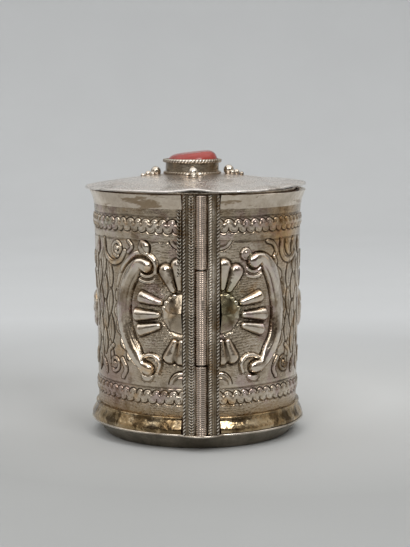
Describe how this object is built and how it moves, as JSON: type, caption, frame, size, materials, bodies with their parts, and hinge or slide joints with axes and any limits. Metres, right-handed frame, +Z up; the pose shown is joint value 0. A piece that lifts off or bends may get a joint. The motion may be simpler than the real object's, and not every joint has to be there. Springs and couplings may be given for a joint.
{
  "type": "ghau amulet box",
  "caption": "Round amulet box of embossed silver that opens on a front barrel hinge, with flared rims, a dark foot and a lift-off conical lid that holds a red coral.",
  "frame": {"origin": "centre of the flat underside of the foot, on the drum's axis", "axes": "+Z up along the drum's axis, hinge at the front on -Y, the swinging half on +X"},
  "size_m": [0.0678, 0.0694, 0.0875],
  "materials": {
    "silver": "aged, hand polished",
    "embossed_silver": "embossed and chased, dark in the recesses",
    "sleeve_copper": "dull inner sheet",
    "pin_steel": "drawn wire",
    "blackened_copper": "blackened, dull",
    "coral": "polished cabochon"
  },
  "bodies": {
    "left_half": {"left_sleeve": "sleeve_copper", "left_panel": "embossed_silver", "left_top_collar": "silver", "left_bottom_collar": "silver", "left_front_stile": "silver", "left_front_border_wires": "silver", "left_front_plait_wires": "silver", "left_rear_stile": "silver", "left_rear_border_wire": "silver", "left_rear_plait_wires": "silver", "lower_knuckle": "silver", "upper_knuckle": "silver", "hinge_pin": "pin_steel", "base_disc": "silver", "foot_pan": "blackened_copper"},
    "right_half": {"right_sleeve": "sleeve_copper", "right_panel": "embossed_silver", "right_top_collar": "silver", "right_bottom_collar": "silver", "right_front_stile": "silver", "right_front_rope_wire": "silver", "right_front_bead_wire": "silver", "right_front_border_wire": "silver", "right_rear_stile": "silver", "right_rear_border_wire": "silver", "right_rear_plait_wires": "silver", "middle_knuckle": "silver", "closing_lip": "sleeve_copper"},
    "lid": {"lid_cone": "silver", "lid_collar": "silver", "bezel_cup": "silver", "bezel_foot_wire": "silver", "bezel_milled_ring": "silver", "coral_cabochon": "coral", "large_granules": "silver", "small_granules": "silver"}
  },
  "joints": [
    {"name": "right_half_swing", "type": "hinge", "parent": "left_half", "child": "right_half", "pos_m": [0, -0.0334, 0], "axis": [0, 0, -1], "range_deg": [0, 125]},
    {"name": "lid_lift", "type": "slide", "parent": "left_half", "child": "lid", "axis": [0, 0, 1], "range_m": [0, 0.04]}
  ]
}
